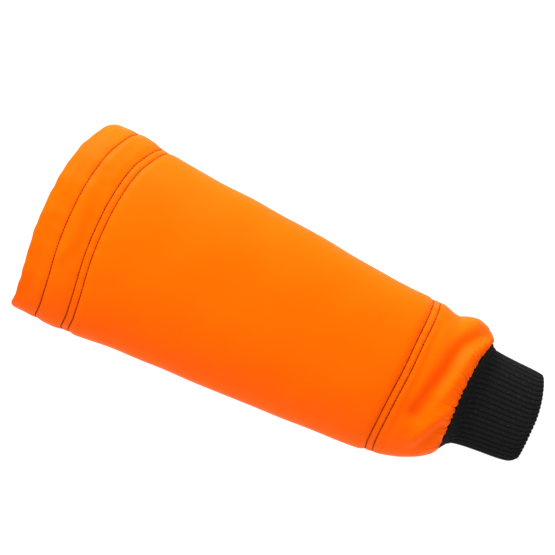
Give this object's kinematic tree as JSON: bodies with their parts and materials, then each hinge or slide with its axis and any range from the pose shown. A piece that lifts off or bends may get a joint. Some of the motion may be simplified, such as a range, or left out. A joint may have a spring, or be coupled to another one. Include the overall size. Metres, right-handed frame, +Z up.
{
  "type": "chainsaw protective oversleeve",
  "caption": "Padded tapered work sleeve, open at both ends, with a rib-knit wrist cuff and a drawcord with a sprung barrel cord lock at the back of its hem, lying on its back.",
  "frame": {"origin": "bottom centre of the lying sleeve's bounding box, on the surface it rests on", "axes": "+X along the sleeve from the hem to the knit cuff, +Y across it to the edge that is further from the picture's lower border, +Z up"},
  "size_m": [0.5052, 0.2003, 0.0778],
  "materials": {
    "orange_polyester": "satin woven high-visibility polyester",
    "rib_knit": "matte rib knit",
    "stitching_thread": "spun sewing thread",
    "webbing": "woven tape",
    "elastic_cord": "braided cover",
    "lock_plastic": "fine moulded texture"
  },
  "bodies": {
    "sleeve": {"sleeve_shell": "orange_polyester", "knit_cuff": "rib_knit", "eyelet_left": "stitching_thread", "eyelet_right": "stitching_thread", "cord_tab": "webbing", "cord_lock_barrel": "lock_plastic", "drawcord_left": "elastic_cord", "drawcord_right": "elastic_cord", "cord_knot": "elastic_cord", "cord_tail_left": "elastic_cord", "cord_tail_right": "elastic_cord"},
    "lock_button": {"cord_lock_button": "lock_plastic"}
  },
  "joints": [
    {"name": "lock_press", "type": "slide", "parent": "sleeve", "child": "lock_button", "axis": [0, -1, 0], "range_m": [0, 0.003], "stiffness_N_per_m": 1000}
  ]
}
